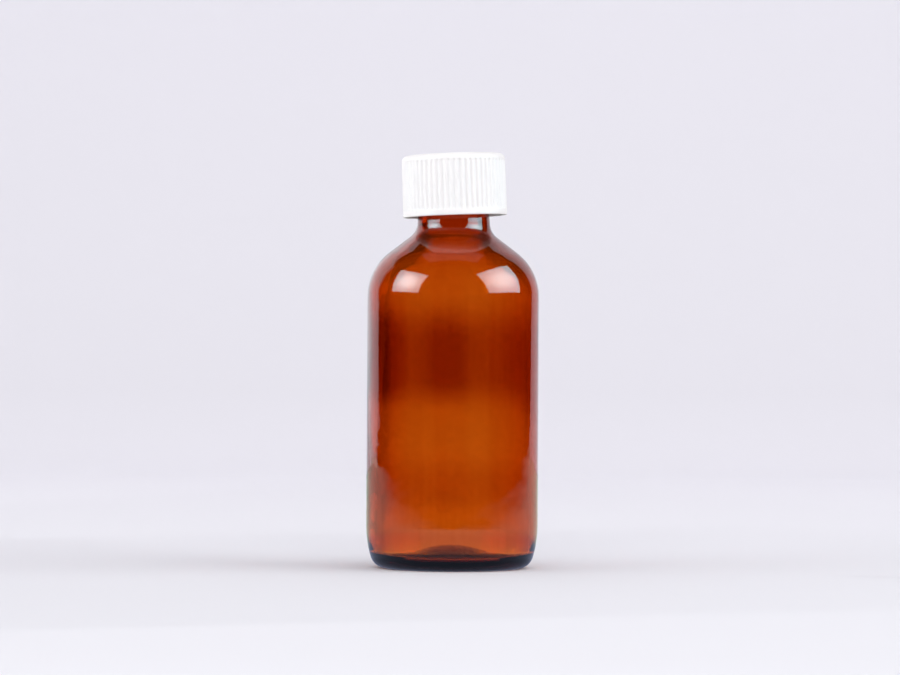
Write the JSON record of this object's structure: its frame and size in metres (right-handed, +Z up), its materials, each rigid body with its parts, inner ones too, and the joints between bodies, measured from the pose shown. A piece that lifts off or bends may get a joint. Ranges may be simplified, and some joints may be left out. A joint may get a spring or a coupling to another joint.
{
  "type": "prescription vial",
  "caption": "Amber glass Boston round medicine bottle with a ribbed white push-and-turn child-resistant screw closure and a lined inner cap.",
  "frame": {"origin": "middle of the ring that the bottle stands on", "axes": "+Z up along the bottle's axis, +X to the right, -Y the front; the loose outer cap leans towards -X"},
  "size_m": [0.0484, 0.0484, 0.1171],
  "materials": {
    "amber_glass": "clear, smooth moulded",
    "liner_film": "thin glossy film",
    "liner_pulp": "matte pulp board",
    "inner_cap_plastic": "satin moulded",
    "spring_plastic": "satin moulded",
    "outer_cap_plastic": "satin moulded"
  },
  "bodies": {
    "bottle": {"bottle": "amber_glass"},
    "liner": {"liner_facing": "liner_film", "liner_backing": "liner_pulp"},
    "inner_cap": {"inner_cap": "inner_cap_plastic"},
    "spring_fingers": {"spring_fingers": "spring_plastic"},
    "outer_cap": {"outer_cap": "outer_cap_plastic"}
  },
  "joints": [
    {"name": "cap_rise", "type": "slide", "parent": "bottle", "child": "liner", "axis": [0, 0, 1], "range_m": [0, 0.01429]},
    {"name": "cap_unscrew", "type": "hinge", "parent": "liner", "child": "inner_cap", "pos_m": [0, 0, 0.112], "axis": [0, 0, 1], "range_deg": [0, 1620]},
    {"name": "overcap_slip", "type": "hinge", "parent": "inner_cap", "child": "spring_fingers", "pos_m": [0, 0, 0.1105], "axis": [-0.0393, 0, 0.9992], "continuous": true},
    {"name": "push_down", "type": "slide", "parent": "spring_fingers", "child": "outer_cap", "axis": [0.0393, 0, -0.9992], "range_m": [0, 0.0008], "stiffness_N_per_m": 15000, "deforming": ["spring_fingers"]}
  ],
  "couplings": [
    {"joint": "cap_rise", "follows": "cap_unscrew", "m_per_rad": 0.00050532}
  ]
}
